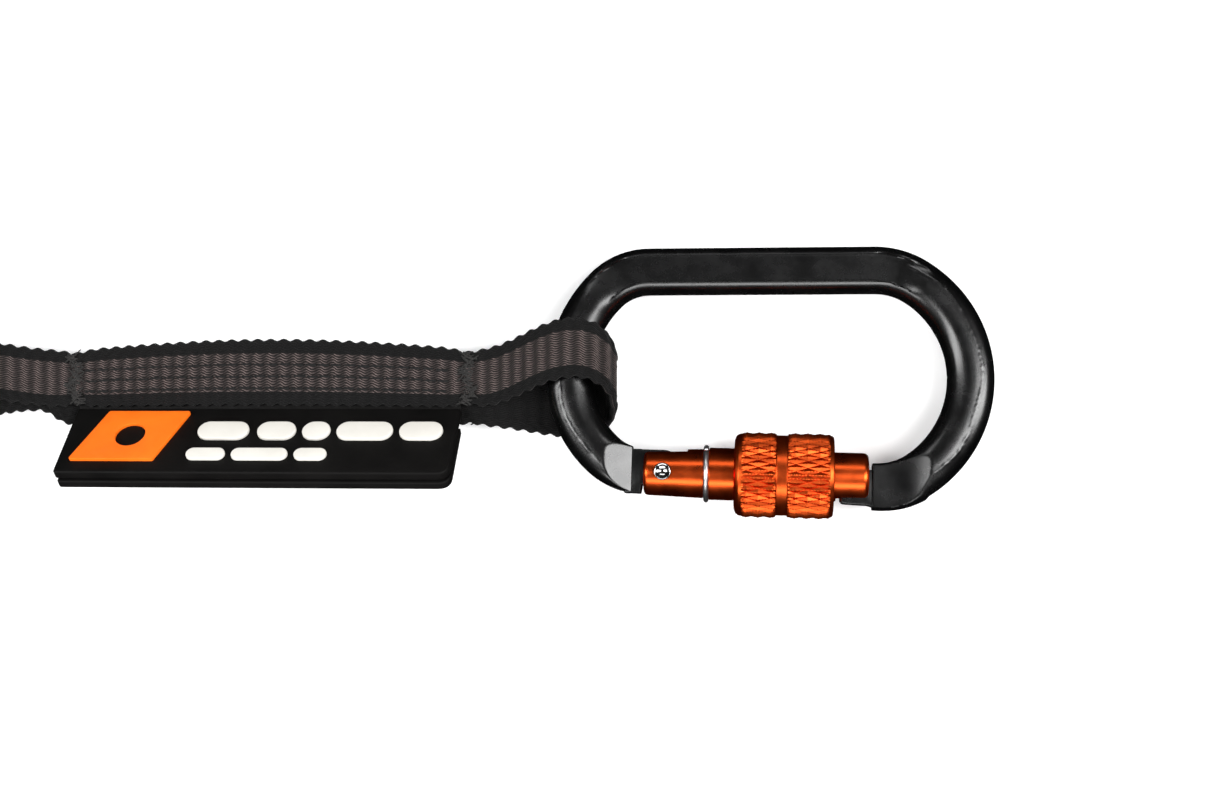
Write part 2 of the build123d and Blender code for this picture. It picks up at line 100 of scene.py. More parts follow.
CAM_OFFSET = 1.1
TONGUE_ROOT_U = -4.7  # the tongue is as wide as the bar up to here
TONGUE_ROOT_HALF = 4.8
NOSE_TONGUE_U = 39.3
NOSE_TONGUE_V = (-6.0, 1.6)
NOSE_TONGUE_HALF = 2.5
TONGUE_SINK = 1.5  # how far both tongues reach into the bar

# ---- gate ----
GATE_END_U = -4.3
GATE_END_R = 5.1
GATE_RING_R = 5.5
GATE_MID_R = 5.85
GATE_NOSE_R = 5.45
GATE_NOSE_U = 32.6
GATE_TIP_U = 45.6
GATE_ROUNDING = 1.1
HINGE_SLOT_HALF = 2.6
HINGE_SLOT_U = 5.4
HINGE_SLOT_V = -3.2  # the slot is open on the window side and closed outside
NOSE_POCKET_U = 38.4
NOSE_POCKET_TOP_V = 2.0
NOSE_POCKET_HALF = 2.8
RIVET_R = 1.9
RIVET_HALF = 5.0
RIVET_DISH = 0.75
RING_U = 9.6
RING_WIRE_R = 0.6
RING_MEAN_R = 5.9
RING_ARC = 350
RING_GROOVE_HALF = 0.65

# ---- sleeve ----
SLEEVE_U = 15.9
SLEEVE_LENGTH = 22.0
SLEEVE_R = 9.6
SLEEVE_GROOVE_R = 8.95
SLEEVE_COLLAR_R = 7.7
SLEEVE_BORE_R = 6.15
SLEEVE_MOUTH_R = 7.0
SLEEVE_MOUTH_START = 10.0
BAND_1 = (1.7, 9.2)
BAND_2 = (11.9, 21.1)
KNURL_COUNT = 35
KNURL_LENGTH = 5.4  # one diamond, along the axis
UNDER_R = 8.7  # the turned surface hidden below the knurl
KNURL_DEPTH = 0.55
KNURL_FADE = 0.45  # the grooves' flat run-out at each edge of a band
KNURL_CELLS = 8  # per diamond, round the sleeve

# ---- sling, in the row frame ----
CENTRE_Y = 1.45
RIGHT_X = 119.05
LEFT_X = -119.05
WEB_WIDTH = 13.4
WEB_THICK = 1.6
LAYER_GAP = 1.0
SEWN_Z = 7.3
UPPER_FACE_Z = SEWN_Z + LAYER_GAP / 2 + WEB_THICK
LOWER_FACE_Z = SEWN_Z - LAYER_GAP / 2 - WEB_THICK
SEWN_Y = -0.3
LOWER_SHIFT = -4.4
TACK_RIGHT_X = RIGHT_X - 68.5
TACK_LEFT_X = RIGHT_X - 161.5
TACK_LENGTH = 3.6
STITCH_ROWS = (-3.2, -0.8, 1.6)
STITCH_PITCH = 3.1
STITCH_LENGTH = 2.4
STITCH_R = 0.25
TACK_STITCHES = 58
LOOP_X = 43.0
LOOP_REACH = 8.1
RIGHT_WRAP_TOP, RIGHT_WRAP_LOW = (6.4, 15.2), (-7.4, 1.25)
LEFT_WRAP_TOP, LEFT_WRAP_LOW = (3.2, 15.4), (-3.2, 0.95)
LEFT_RECOVER = (-9.0, -0.8, -1.2)
ARCH_SHIFT = 1.4  # the upper layer's bulge between the bar tacks
ARCH_WIDEN = 0.14
TACK_WAIST = 0.09
WAIST_REACH = 3.2
BUTT_X = 20.0
BUTT_GAP = 0.8
RIB_PITCH = 3.1
WARP_PITCH = 0.52
WARP_LEAN = 0.26  # the warp threads swing sideways over each rib
SCALLOP = 0.28
STRIPE_HALF = 3.9
WEB_STEP = 0.31
WEB_CELLS = 56  # across the width

# ---- label ----
LABEL_LEFT_X = RIGHT_X - 161.1
LABEL_RIGHT_X = RIGHT_X - 70.2
LABEL_LENGTH = LABEL_RIGHT_X - LABEL_LEFT_X
LABEL_TOP_Y = CENTRE_Y + SEWN_Y - WEB_WIDTH / 2 - 0.2
LABEL_TOP_Z = 8.6
LABEL_TILT = 45.0
LABEL_HEIGHT = 20.3
LABEL_CORNER_R = 3.0
LABEL_LAYERS = [  # (top edge, depth, thickness, inset)
    (0.0, 0.0, 2.35, 0.0),
    (1.6, 2.2, 1.1, 0.8),
    (3.1, 3.2, 2.2, 0.0),
]
FLANGE_DEPTH = 6.6
EMBLEM_OUTLINE = [(2.8, 16.9), (8.4, 1.6), (28.0, 1.6), (22.6, 16.9)]  # (along, down) the label
EMBLEM_HOLE = (15.4, 9.2, 3.5)  # (along, down, radius)
EMBLEM_PROUD = 0.8
EMBLEM_SUNK = 0.4
BAR_ROWS = [  # (down, height, [(along, length)])
    (7.6, 5.4, [(31.0, 12.0), (45.0, 9.0), (55.5, 6.5), (63.5, 13.0), (78.0, 10.0)]),
    (14.9, 3.4, [(30.0, 9.0), (40.5, 13.0), (55.0, 7.5)]),
]

# ---- studio ----
SOFTBOX_TARGET = (0.03, 0.0, 0.0)  # in metres
SOFTBOXES = [  # (name, place in metres, size in metres, watts)
    ("near_softbox", (0.05, -0.70, 0.8), (1.2, 0.28), 8.5),
    ("far_softbox", (0.05, 0.85, 0.75), (1.2, 0.18), 3.2),
    ("right_softbox", (0.78, 0.06, 0.78), (0.36, 0.9), 13.5),
    ("left_softbox", (-0.54, 0.0, 0.78), (0.28, 0.7), 7),
]
FLOOR_HALF_M = 3.0
CAMERA_PLACE = (122.58, -5.0, 388.8)
CAMERA_TARGET = (82.45, -5.0, 7.0)


# ======== helpers
def add_object(name, mesh, sharp_angle):
    """A new object with smooth shading, except at edges sharper than the angle."""
    obj = bpy.data.objects.new(name, mesh)
    bpy.context.scene.collection.objects.link(obj)
    smooth(obj, sharp_angle)
    return obj


def smooth(obj, sharp_angle):
    obj.data.shade_smooth()
    if sharp_angle is not None:
        obj.data.set_sharp_from_angle(angle=radians(sharp_angle))


def make_object(name, points, faces, sharp_angle=None):
    mesh = bpy.data.meshes.new(name)
    mesh.from_pydata([tuple(p) for p in points], [], faces)
    mesh.validate()
    return add_object(name, mesh, sharp_angle)


def discard(obj):
    mesh = obj.data
    bpy.data.objects.remove(obj)
    bpy.data.meshes.remove(mesh)


def finish_piece(obj, matrix, body, node, material):
    """Moves the mesh into the row frame, gives it its material and ties it to its body."""
    obj.data.transform(matrix)
    obj.data.update()
    obj.data.materials.clear()
    obj.data.materials.append(material)
    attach(obj, body)
    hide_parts(node)


def join_meshes(obj, others):
    """Adds the other objects' meshes to obj's and removes them."""
    bm = bmesh.new()
    for source in [obj, *others]:
        bm.from_mesh(source.data)
    bm.to_mesh(obj.data)
    bm.free()
    for other in others:
        discard(other)
    return obj


def baked(obj):
    """The object's mesh with its modifiers or curve settings applied."""
    depsgraph = bpy.context.evaluated_depsgraph_get()
    return bpy.data.meshes.new_from_object(obj.evaluated_get(depsgraph))


def cut_away(obj, cutter):
    """Subtracts the cutter's mesh and removes the cutter."""
    cut = obj.modifiers.new("cut", "BOOLEAN")
    cut.operation = "DIFFERENCE"
    cut.solver = "EXACT"
    cut.object = cutter
    mesh = baked(obj)
    obj.modifiers.clear()
    obj.data = mesh
    discard(cutter)


def smoothstep(low, high, value):
    """0 below low, 1 above high, smooth between."""
    t = min(max((value - low) / (high - low), 0.0), 1.0)
    return t * t * (3 - 2 * t)


def between(value, start, rise, finish, fall):
    """0 up to start, rising to 1 over a length rise; from finish it falls to 0 over a length fall."""
    return smoothstep(start, start + rise, value) * (1 - smoothstep(finish, finish + fall, value))


def ring_faces(rows, sides):
    """The quads between successive rings of vertices."""
    faces = []
    for base in range(0, (rows - 1) * sides, sides):
        for k in range(sides):
            j = (k + 1) % sides
            faces.append((base + k, base + j, base + sides + j, base + sides + k))
    return faces


def tube(points, radius, sides=8):
    """Vertices and faces of a round wire along points, with a low cone on each end."""
    last = len(points) - 1
    vertices = []
    side_dir = (points[1] - points[0]).orthogonal().normalized()
    for i, here in enumerate(points):
        heading = (points[min(i + 1, last)] - points[max(i - 1, 0)]).normalized()
        side_dir = (side_dir - heading * side_dir.dot(heading)).normalized()
        up = heading.cross(side_dir)
        for k in range(sides):
            angle = 2 * pi * k / sides
            vertices.append(here + (side_dir * cos(angle) + up * sin(angle)) * radius)
    faces = ring_faces(len(points), sides)
    tip = radius * 0.6
    vertices.append(points[0] - (points[1] - points[0]).normalized() * tip)
    vertices.append(points[-1] + (points[-1] - points[-2]).normalized() * tip)
    for k in range(sides):
        j = (k + 1) % sides
        faces.append((j, k, len(vertices) - 2))
        faces.append((last * sides + k, last * sides + j, len(vertices) - 1))
    return vertices, faces


def merge(name, parts):
    """One object from several lists of vertices and faces."""
    vertices = []
    faces = []
    for part_vertices, part_faces in parts:
        offset = len(vertices)
        vertices += part_vertices
        faces += [tuple(index + offset for index in face) for face in part_faces]
    return make_object(name, vertices, faces)


def lathe(name, profile, segments, sharp_angle=30):
    """A solid of revolution about x from closed (x, radius) points; radius 0 marks a pole."""
    vertices = []
    rings = []
    for x, radius in profile:
        sides = segments if radius > 0 else 1
        rings.append([len(vertices) + k for k in range(sides)])
        for k in range(sides):
            angle = 2 * pi * k / segments
            vertices.append((x, radius * cos(angle), radius * sin(angle)))
    pairs = list(zip(rings, rings[1:]))
    if len(rings[0]) > 1:
        pairs.append((rings[-1], rings[0]))
    faces = []
    for ring, after in pairs:
        for k in range(segments):
            j = (k + 1) % segments
            if len(ring) == 1:
                faces.append((ring[0], after[j], after[k]))
            elif len(after) == 1:
                faces.append((ring[k], ring[j], after[0]))
            else:
                faces.append((ring[k], ring[j], after[j], after[k]))
    return make_object(name, vertices, faces, sharp_angle)


def rounded_corner(corner, before, after, radius, steps):
    """Points that round one corner of a 2D outline."""
    corner, before, after = Vector(corner), Vector(before), Vector(after)
    to_before = (before - corner).normalized()
    to_after = (after - corner).normalized()
    reach = radius / tan(to_before.angle(to_after) / 2)
    reach = min(reach, (before - corner).length * 0.49, (after - corner).length * 0.49)
    start = corner + to_before * reach
    finish = corner + to_after * reach
    points = []
    for i in range(steps + 1):
        t = i / steps
        points.append(tuple(start * (1 - t) ** 2 + corner * 2 * t * (1 - t) + finish * t * t))
    return points


def rounded(corners, radii, steps=8):
    """A closed 2D outline with rounded corners; radii is one radius or maps a corner's index to its own."""
    outline = []
    for i, corner in enumerate(corners):
        radius = radii.get(i, 0) if isinstance(radii, dict) else radii
        if radius > 0:
            after = corners[(i + 1) % len(corners)]
            outline += rounded_corner(corner, corners[i - 1], after, radius, steps)
        else:
            outline.append(tuple(corner))
    return outline


def flat_piece(name, loops, thickness, bevel, bevel_steps=3):
    """A flat slab with bevelled edges from closed 2D loops (holes allowed), centred on z = 0."""
    curve = bpy.data.curves.new(name, "CURVE")
    curve.dimensions = "2D"
    curve.fill_mode = "BOTH"
    curve.extrude = thickness / 2 - bevel
    curve.bevel_depth = bevel
    curve.bevel_resolution = bevel_steps
    curve.offset = -bevel
    for loop in loops:
        spline = curve.splines.new("POLY")
        spline.points.add(len(loop) - 1)
        for point, (x, y) in zip(spline.points, loop):
            point.co = (x, y, 0, 1)
        spline.use_cyclic_u = True
    holder = bpy.data.objects.new(name + "_curve", curve)
    bpy.context.scene.collection.objects.link(holder)
    mesh = baked(holder)
    bpy.data.objects.remove(holder)
    bpy.data.curves.remove(curve)
    bm = bmesh.new()
    bm.from_mesh(mesh)
    bmesh.ops.remove_doubles(bm, verts=bm.verts, dist=1e-4)
    bm.to_mesh(mesh)
    bm.free()
    return add_object(name, mesh, 35)


def arc(x, y, radius, first, last, steps):
    """Points on a circle from one angle to another, both included."""
    angles = [first + (last - first) * k / steps for k in range(steps + 1)]
    return [(x + radius * cos(angle), y + radius * sin(angle)) for angle in angles]


def circle(x, y, radius, steps=40):
    return arc(x, y, radius, 0, 2 * pi, steps)[:-1]


def matrix_from(origin, x_dir, y_dir, z_dir):
    """Local millimetres to row-frame metres; origin is in metres."""
    matrix = Matrix((x_dir, y_dir, z_dir)).transposed().to_4x4()
    return Matrix.Translation(origin) @ matrix @ Matrix.Scale(MM, 4)


def carabiner_matrices(side):
    """(carabiner matrix, gate matrix) of one side, worked out from its joints."""
    hinge = JOINTS[f"{side}_gate_hinge"]
    gate_dir = Vector(JOINTS[f"{side}_sleeve_travel"]["axis"]).normalized()
    z_dir = Vector(hinge["axis"]).normalized()
    gate_dir = (gate_dir - z_dir * gate_dir.dot(z_dir)).normalized()
    gate_side = z_dir.cross(gate_dir)
    gate_matrix = matrix_from(Vector(hinge["pos_m"]), gate_dir, gate_side, z_dir)
    x_dir = Matrix.Rotation(radians(-GATE_TAPER), 3, z_dir) @ gate_dir
    y_dir = z_dir.cross(x_dir)
    origin = Vector(hinge["pos_m"]) - (x_dir * HINGE[0] + y_dir * HINGE[1]) * MM
    return matrix_from(origin, x_dir, y_dir, z_dir), gate_matrix


# ======== materials
class Surface:
    """A material built round its Principled shader."""

    def __init__(self, name):
        self.material = bpy.data.materials.new(name)
        self.material.use_nodes = True
        self.nodes = self.material.node_tree.nodes
        self.links = self.material.node_tree.links
        self.shader = self.nodes["Principled BSDF"]

    def set(self, socket, value):
        self.shader.inputs[socket].default_value = value

    def add(self, kind, source, source_socket, values):
        """A new node fed by source, with its other sockets set from (name, value) pairs."""
        node = self.nodes.new(kind)
        for socket, value in values:
            node.inputs[socket].default_value = value
        self.links.new(source, node.inputs[source_socket])
        return node

    def coordinates(self):
        return self.nodes.new("ShaderNodeTexCoord").outputs["Object"]

    def noise(self, where, scale, detail, roughness):
        values = (("Scale", scale), ("Detail", detail), ("Roughness", roughness))
        return self.add("ShaderNodeTexNoise", where, "Vector", values).outputs["Fac"]

    def stretched(self, where, scale):
        return self.add("ShaderNodeMapping", where, "Vector", [("Scale", scale)]).outputs["Vector"]

    def ramp(self, source, *stops):
        """A colour ramp; each stop is (position, colour)."""
        node = self.add("ShaderNodeValToRGB", source, "Fac", ())
        elements = node.color_ramp.elements
        while len(elements) < len(stops):
            elements.new(0.5)
        for element, (position, colour) in zip(elements, stops):
            element.position = position
            element.color = (*colour, 1)
        return node.outputs["Color"]

    def colour(self, source):
        self.links.new(source, self.shader.inputs["Base Color"])

    def gloss(self, source, low, high):
        """Roughness from low to high over the middle of a noise."""
        values = (("From Min", 0.3), ("From Max", 0.7), ("To Min", low), ("To Max", high))
        node = self.add("ShaderNodeMapRange", source, "Value", values)
        self.links.new(node.outputs["Result"], self.shader.inputs["Roughness"])

    def bump(self, source, strength, distance_m):
        values = (("Strength", strength), ("Distance", distance_m))
        node = self.add("ShaderNodeBump", source, "Height", values)
        self.links.new(node.outputs["Normal"], self.shader.inputs["Normal"])

    def maths(self, operation, first, second=None):
        """The result of a maths node on sockets or numbers."""
        node = self.nodes.new("ShaderNodeMath")
        node.operation = operation
        for socket, value in zip(node.inputs, (first, second)):
            if isinstance(value, (int, float)):
                socket.default_value = value
            elif value is not None:
                self.links.new(value, socket)
        return node.outputs["Value"]


def black_anodised():
    """Tumbled, black anodised forging: nearly black, a satin gloss, fine grain, faint scuffs."""
    surface = Surface("black_anodised_aluminium")
    where = surface.coordinates()
    grain = surface.noise(where, 5200, 3, 0.6)
    patches = surface.noise(where, 160, 5, 0.6)
    surface.colour(surface.ramp(patches, (0.3, (0.0005, 0.0005, 0.0006)), (0.75, (0.0015, 0.0015, 0.0016))))
    surface.gloss(patches, 0.22, 0.3)
    surface.bump(grain, 0.22, 0.00004)
    surface.set("Specular IOR Level", 0.66)
    return surface.material


def orange_anodised(name, ring_scale, roughness):
    """Turned, orange anodised aluminium with fine tool rings round the gate's axis."""
    surface = Surface(name)
    where = surface.coordinates()
    patches = surface.noise(where, 220, 4, 0.5)
    surface.colour(surface.ramp(patches, (0.3, (0.52, 0.064, 0.011)), (0.7, (0.62, 0.080, 0.014))))
    surface.gloss(patches, roughness - 0.04, roughness + 0.04)
    rings = surface.noise(surface.stretched(where, (ring_scale, 60, 60)), 1.0, 2, 0.5)
    surface.bump(rings, 0.25, 0.00003)
    surface.set("Metallic", 1.0)
    surface.set("Specular Tint", (0.75, 0.22, 0.05, 1))
    return surface.material


def bright_steel(name, roughness, colour):
    """Bright steel with drawing marks."""
    surface = Surface(name)
    marks = surface.noise(surface.coordinates(), 900, 4, 0.6)
    surface.colour(surface.ramp(marks, (0.3, tuple(c * 0.86 for c in colour)), (0.7, colour)))
    surface.gloss(marks, roughness * 0.8, roughness * 1.25)
    surface.bump(marks, 0.08, 0.00002)
    surface.set("Metallic", 1.0)
    return surface.material


def moulded_rubber(name, dark, light, roughness=0.62):
    """Soft moulded rubber: matte, finely pebbled, a little dust in the pores."""
    surface = Surface(name)
    where = surface.coordinates()
    pores = surface.noise(where, 2600, 4, 0.6)
    patches = surface.noise(where, 90, 4, 0.6)
    surface.colour(surface.ramp(patches, (0.3, dark), (0.72, light)))
    surface.gloss(patches, roughness - 0.08, roughness + 0.1)
    surface.bump(pores, 0.3, 0.00005)
    surface.set("Specular IOR Level", 0.12)
    return surface.material


def woven_webbing():
    """Flat nylon tape: black edges, a grey-brown centre stripe of slanting warp threads, and painted shade
    that darkens the grooves between the threads and between the ribs.

    The mesh's UV is (length, width) in millimetres.
    """
    surface = Surface("woven_nylon_tape")
    maths = surface.maths
    uv_map = surface.nodes.new("ShaderNodeUVMap")
    uv_map.uv_map = "weave"
    uv = uv_map.outputs["UV"]
    split = surface.add("ShaderNodeSeparateXYZ", uv, "Vector", ())
    along, across = split.outputs["X"], split.outputs["Y"]
    wobble = surface.noise(uv, 1.3, 3, 0.6)
    drift = maths("MULTIPLY", maths("SUBTRACT", wobble, 0.5), 0.5)
    rib_angle = maths("MULTIPLY", along, 2 * pi / RIB_PITCH)
    lean = maths("MULTIPLY", maths("SINE", rib_angle), WARP_LEAN)
    thread_place = maths("ADD", maths("ADD", across, lean), drift)
    thread_wave = maths("SINE", maths("MULTIPLY", thread_place, 2 * pi / WARP_PITCH))
    thread = maths("ADD", maths("MULTIPLY", thread_wave, 0.5), 0.5)
    rib_wave = maths("ADD", maths("MULTIPLY", maths("COSINE", rib_angle), 0.5), 0.5)
    fibre = surface.noise(surface.stretched(uv, (1.2, 16, 1)), 2.0, 4, 0.7)
    # painted shade: the colour is lighter on the rib crests and the warp threads' tops and darker in the
    # grooves between them, following the same waves as the bump; the fibre noise adds random tone
    painted_rib_shade = maths("ADD", maths("MULTIPLY", rib_wave, 0.55), 0.4)
    on_fibre = maths("ADD", maths("MULTIPLY", fibre, 0.9), 0.5)
    bright = maths("MULTIPLY", maths("MULTIPLY", maths("POWER", thread, 1.3), painted_rib_shade), on_fibre)
    stripe = surface.ramp(
        bright,
        (0.0, (0.006, 0.0048, 0.0045)),
        (0.35, (0.030, 0.0238, 0.0225)),
        (1.0, (0.160, 0.122, 0.115)),
    )
    edge = surface.ramp(bright, (0.0, (0.001, 0.001, 0.001)), (1.0, (0.007, 0.0066, 0.0066)))
    from_middle = maths("ABSOLUTE", maths("ADD", across, maths("MULTIPLY", drift, 0.5)))
    in_stripe = maths("LESS_THAN", from_middle, STRIPE_HALF)
    mix = surface.nodes.new("ShaderNodeMix")
    mix.data_type = "RGBA"
    for socket, source in (("Factor", in_stripe), ("A", edge), ("B", stripe)):
        surface.links.new(source, mix.inputs[socket])
    surface.colour(mix.outputs["Result"])
    surface.bump(maths("ADD", thread, maths("MULTIPLY", fibre, 0.5)), 0.9, 0.00016)
    surface.set("Roughness", 0.72)
    surface.set("Specular IOR Level", 0.15)
    surface.set("Sheen Weight", 0.04)
    surface.set("Sheen Roughness", 0.5)
    return surface.material


def spun_thread(name, dark, light):
    """Twisted sewing thread."""
    surface = Surface(name)
    fibres = surface.noise(surface.coordinates(), 4200, 4, 0.7)
    surface.colour(surface.ramp(fibres, (0.35, dark), (0.7, light)))
    surface.bump(fibres, 0.5, 0.00006)
    surface.set("Roughness", 0.66)
    surface.set("Specular IOR Level", 0.2)
    surface.set("Sheen Weight", 0.05)
    return surface.material


BLACK = black_anodised()
GATE_ORANGE = orange_anodised("orange_anodised_gate", 5200, 0.3)
SLEEVE_ORANGE = orange_anodised("orange_anodised_sleeve", 3800, 0.34)
STEEL = bright_steel("polished_steel", 0.14, (0.42, 0.42, 0.42))
WIRE = bright_steel("drawn_steel_wire", 0.36, (0.56, 0.56, 0.57))
ELASTOMER = moulded_rubber("elastomer", (0.01, 0.01, 0.01), (0.02, 0.02, 0.02))
RUBBER = moulded_rubber("label_black_rubber", (0.002, 0.0018, 0.0017), (0.004, 0.0036, 0.0033))
ORANGE_RUBBER = moulded_rubber("label_orange_rubber", (0.88, 0.14, 0.006), (0.95, 0.175, 0.01), 0.5)
WHITE_RUBBER = moulded_rubber("label_white_rubber", (0.66, 0.64, 0.59), (0.74, 0.72, 0.67), 0.5)
TAPE = woven_webbing()
THREAD = spun_thread("black_thread", (0.001, 0.001, 0.001), (0.010, 0.010, 0.010))
TACK_THREAD = spun_thread("tack_thread", (0.002, 0.002, 0.002), (0.045, 0.043, 0.041))


# ======== carabiner body
def end_shape(corner, middle, corner_r):
    """Radius and arc, in degrees, of the wide end arc that meets a corner arc."""
    across = abs(middle[0] - corner[0])
    along = abs(middle[1] - corner[1])
    end_r = (across**2 + along**2 - 2 * along * corner_r) / (2 * (across - corner_r))
    return end_r, degrees(asin((along - corner_r) / (end_r - corner_r)))


def along_span(start, heading, radius, s):
    """The point and heading a length s along a clockwise arc, or a straight where radius is None."""
    if radius is None:
        return start + Vector((cos(heading), sin(heading), 0)) * s, heading
    now = heading - s / radius
    return start + Vector((sin(heading) - sin(now), cos(now) - cos(heading), 0)) * radius, now


def bar_path():
    """(point, heading, arc length) along the bar from the hinge to the nose, and where its spans meet."""
    sling_low = end_shape(SLING_BOW_LOW, SLING_BOW_MID, SLING_CORNER_R)
    sling_top = end_shape((SLING_BOW_TOP_X, SPINE_Y), SLING_BOW_MID, SLING_CORNER_R)
    far_top = end_shape((FAR_BOW_TOP_X, SPINE_Y), FAR_BOW_MID, FAR_CORNER_R)
    far_low = end_shape(FAR_BOW_LOW, FAR_BOW_MID, FAR_CORNER_R)
    # (radius, degrees) for arcs, (None, length) for straights
    spans = [
        (SLING_CORNER_R, 90 - sling_low[1]),
        sling_low,
        sling_top,
        (SLING_CORNER_R, 90 - sling_top[1]),
        (None, FAR_BOW_TOP_X - SLING_BOW_TOP_X),
        (FAR_CORNER_R, 90 - far_top[1]),
        far_top,
        far_low,
        (FAR_CORNER_R, 90 - far_low[1]),
        (None, NOSE_LEAD),
    ]
    here, heading = Vector((*SLING_BOW_LOW, 0)), pi
    path = []
    marks = [0.0]
    for radius, size in spans:
        length = size if radius is None else radians(size) * radius
        steps = max(int(length / PATH_STEP), 2)
        for i in range(steps):
            s = length * i / steps
            path.append((*along_span(here, heading, radius, s), marks[-1] + s))
        here, heading = along_span(here, heading, radius, length)
        marks.append(marks[-1] + length)
    path.append((here, heading, marks[-1]))
    return path, marks


def milled_limit(u):
    """Half thickness left by the ramp beside the hinge or the scoop beyond the gate's tip."""
    if u < 0:
        share = (SHOULDER_U - u) / (SHOULDER_U - HINGE_RAMP_U)
        return HINGE_FACE_HALF + (HALF_THICK - HINGE_FACE_HALF) * share
    share = max(u - NOSE_SHOULDER_U, 0) / (NOSE_SCOOP_U - NOSE_SHOULDER_U)
    return NOSE_FACE_HALF + (HALF_THICK - NOSE_FACE_HALF) * share**SCOOP_CURVE


def bar_section(s, marks):
    """(squareness, recess strength) of the bar's section at arc length s."""
    spine = between(s, marks[3] - 6, 14, marks[5] - 1, marks[6] - marks[5] + 5)
    cut_end = 1 - smoothstep(6, 14, min(s, marks[-1] - s))
    recess = between(s, marks[3] - 5, 11, marks[5] + 5, marks[6] - marks[5] - 2)
    return SQUARENESS + SPINE_SQUARER * spine + CUT_END_SQUARER * cut_end, recess


def bar_point(angle, s, marks, section):
    """(across, up) of the bar's surface, across growing away from the window."""
    squareness, recess = section
    across = copysign(HALF_WIDTH * abs(cos(angle)) ** (2 / squareness), cos(angle))
    height = HALF_THICK * abs(sin(angle)) ** (2 / squareness)
    if recess > 0:
        inside = 1 - smoothstep(RECESS_HALF - RECESS_EDGE / 2, RECESS_HALF + RECESS_EDGE / 2, abs(across))
        height -= max(height - RECESS_FLOOR, 0) * recess * inside
    # forging flash trimmed along the outside of both ends, in a wavy, broken line
    far_end = between(s, marks[6] - 12, 14, marks[8] - 2, 11)
    sling_end = between(s, marks[1] - 6, 12, marks[3] - 12, 12)
    seam = FLASH_ACROSS + 0.25 * sin(s * 0.35)
    ridge = FLASH_PROUD * max(far_end, sling_end) * exp(-(((across - seam) / FLASH_WIDTH) ** 2))
    height += ridge * (0.55 + 0.9 * noise.noise(Vector((s * 1.7, across * 2.0, 3.0))))
    # the step where the trimming tool ran out, on the outside below the far end
    step = between(s, marks[8] + 1.0, 1.2, marks[8] + 4.5, 9.0)
    across += TRIM_STEP * step * smoothstep(2.5, 4.5, across)
    return across, copysign(height, sin(angle))


def forged_bar(name):
    """The bar, swept along its path, milled beside the gate and cut square at both ends."""
    path, marks = bar_path()
    angles = [2 * pi * (k + 0.5) / AROUND for k in range(AROUND)]
    hinge = Vector((*HINGE, 0))
    gate_dir = Vector((cos(radians(GATE_TAPER)), sin(radians(GATE_TAPER)), 0))
    vertices = []
    for point, heading, s in path:
        outward = Vector((-sin(heading), cos(heading), 0))
        section = bar_section(s, marks)
        for angle in angles:
            across, up = bar_point(angle, s, marks, section)
            place = point + outward * across
            if place.y < MILLED_BELOW_Y:
                limit = milled_limit((place - hinge).dot(gate_dir))
                up = min(max(up, -limit), limit)
            vertices.append(place + Vector((0, 0, up)))
    obj = make_object(name, vertices, ring_faces(len(path), AROUND))
    bm = bmesh.new()
    bm.from_mesh(obj.data)
    # square cuts at the hinge shoulder and the nose, each across the faces of its own end only
    for u, side, below in ((SHOULDER_U, -1, -10), (NOSE_SHOULDER_U, 1, -15)):
        geometry = {}
        for face in bm.faces:
            centre = face.calc_center_median()
            if centre.x * side > 0 and centre.y < below:
                geometry.update(dict.fromkeys([face, *face.verts, *face.edges]))
        bmesh.ops.bisect_plane(
            bm,
            geom=list(geometry),
            plane_co=hinge + gate_dir * u,
            plane_no=gate_dir * -side,
            clear_outer=True,
            dist=1e-5,
        )
    bmesh.ops.holes_fill(bm, edges=[e for e in bm.edges if e.is_boundary], sides=0)
    caps = [f for f in bm.faces if len(f.verts) > 8]
    rims = [e for f in caps for e in f.edges]
    bmesh.ops.bevel(
        bm, geom=rims, offset=CUT_RIM, segments=2, profile=0.6, affect="EDGES", clamp_overlap=True
    )
    bmesh.ops.recalc_face_normals(bm, faces=bm.faces)
    bm.to_mesh(obj.data)
    bm.free()
    smooth(obj, 40)
    return obj


def hinge_tongue(name):
    """The flat tongue that the gate turns on, round at its end, with the rivet's hole."""
    neck_u = TONGUE_ROOT_U - 0.3
    root_u = SHOULDER_U - TONGUE_SINK
    outline = [
        (TONGUE_ROOT_U, CAM_OFFSET + CAM_R),
        (neck_u, TONGUE_ROOT_HALF + 0.3),
        (root_u, TONGUE_ROOT_HALF + 0.3),
        (root_u, -TONGUE_ROOT_HALF),
        (neck_u, -TONGUE_ROOT_HALF),
        (TONGUE_ROOT_U, CAM_OFFSET - CAM_R),
    ]
    outline += arc(0, CAM_OFFSET, CAM_R, -pi / 2, pi / 2, 20)
    return flat_piece(name, [outline, circle(0, 0, RIVET_R + 0.05)], 2 * TONGUE_HALF, 0.25)


def nose_tongue(name):
    """The tongue that the gate's tip closes over; its lower edge slopes down to the bar."""
    low, high = NOSE_TONGUE_V
    root_u = NOSE_SHOULDER_U + TONGUE_SINK
    corners = [
        (NOSE_TONGUE_U, low),
        (NOSE_SHOULDER_U - 1, low - 0.25),
        (root_u, low - 1.05),
        (root_u, high),
        (NOSE_TONGUE_U, high),
    ]
    return flat_piece(name, [rounded(corners, {0: 1.2, 1: 1.0, 4: 1.2})], 2 * NOSE_TONGUE_HALF, 0.3)


